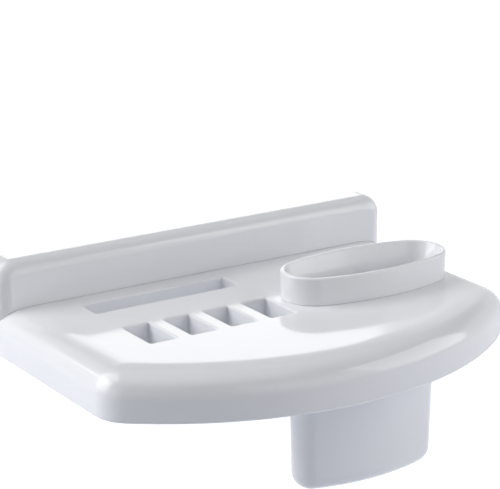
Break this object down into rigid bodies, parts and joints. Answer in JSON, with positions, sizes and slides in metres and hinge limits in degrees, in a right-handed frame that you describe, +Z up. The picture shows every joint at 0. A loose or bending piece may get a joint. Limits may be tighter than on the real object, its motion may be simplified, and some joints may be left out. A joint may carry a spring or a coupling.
{
  "type": "toothbrush holder",
  "caption": "Wall-mounted bow-fronted shelf with rectangular handle sockets, a long slot and a lift-out oval cup, hung by its back plate on a hidden bracket.",
  "frame": {"origin": "on the wall, midway between the two wall fixings, level with the flat top of the shelf", "axes": "+Z up, +X along the wall towards the cup, +Y into the wall, so the shelf reaches out along -Y"},
  "size_m": [0.186, 0.1638, 0.1014],
  "materials": {
    "white_plastic": "gloss",
    "cover_plastic": "satin",
    "screw_steel": "zinc plated",
    "bracket_steel": "galvanised",
    "plug_plastic": "matte"
  },
  "bodies": {
    "wall_mount": {"wall_bracket": "bracket_steel", "wall_screws": "screw_steel", "wall_plugs": "plug_plastic"},
    "holder": {"shelf_shell": "white_plastic", "back_plate": "white_plastic", "base_cover": "cover_plastic", "cover_screws": "screw_steel", "plate_screws": "screw_steel"},
    "cup_body": {"cup": "white_plastic"}
  },
  "joints": [
    {"name": "holder_lift", "type": "slide", "parent": "wall_mount", "child": "holder", "axis": [0, 0, 1], "range_m": [0, 0.004]},
    {"name": "cup_lift", "type": "slide", "parent": "holder", "child": "cup_body", "axis": [0, 0, 1], "range_m": [0, 0.085]}
  ]
}
